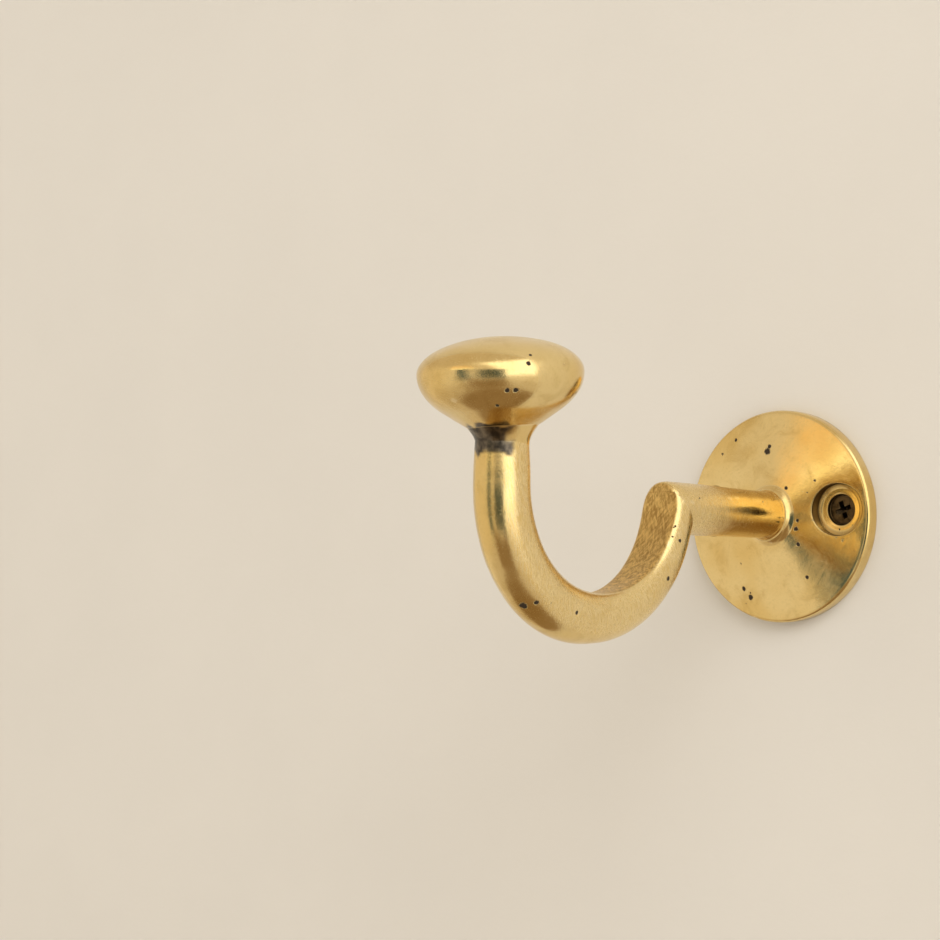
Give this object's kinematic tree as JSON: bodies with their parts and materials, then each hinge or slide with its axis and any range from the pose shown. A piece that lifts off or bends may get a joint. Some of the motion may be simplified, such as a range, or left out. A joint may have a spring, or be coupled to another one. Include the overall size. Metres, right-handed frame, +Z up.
{
  "type": "wall hook",
  "caption": "Wall hat-and-coat hook: round coned plate, straight post, U-shaped arm and flattened knob, held by countersunk screws.",
  "frame": {"origin": "centre of the plate's back face, in the plane of the wall", "axes": "+Z up, the hook stands out from the wall towards -Y, +X to the right of someone facing the wall"},
  "size_m": [0.044, 0.1323, 0.055],
  "materials": {
    "brass": "polished with light scratches, worn",
    "filler": "brazing filler, satin, greyed in places",
    "screw": "dark patina"
  },
  "bodies": {
    "hook": {"back_plate": "brass", "post": "brass", "plate_braze": "filler", "elbow_braze": "filler", "arm": "brass", "neck_braze": "filler", "knob": "brass"},
    "screw_right": {"wall_screw_right": "screw"},
    "screw_left": {"wall_screw_left": "screw"}
  },
  "joints": [
    {"name": "screw_right_turn", "type": "hinge", "parent": "hook", "child": "screw_right", "pos_m": [0.0152, 0, 0.0012], "axis": [0, -1, 0], "continuous": true},
    {"name": "screw_left_turn", "type": "hinge", "parent": "hook", "child": "screw_left", "pos_m": [-0.0152, 0, 0.0012], "axis": [0, -1, 0], "continuous": true}
  ]
}
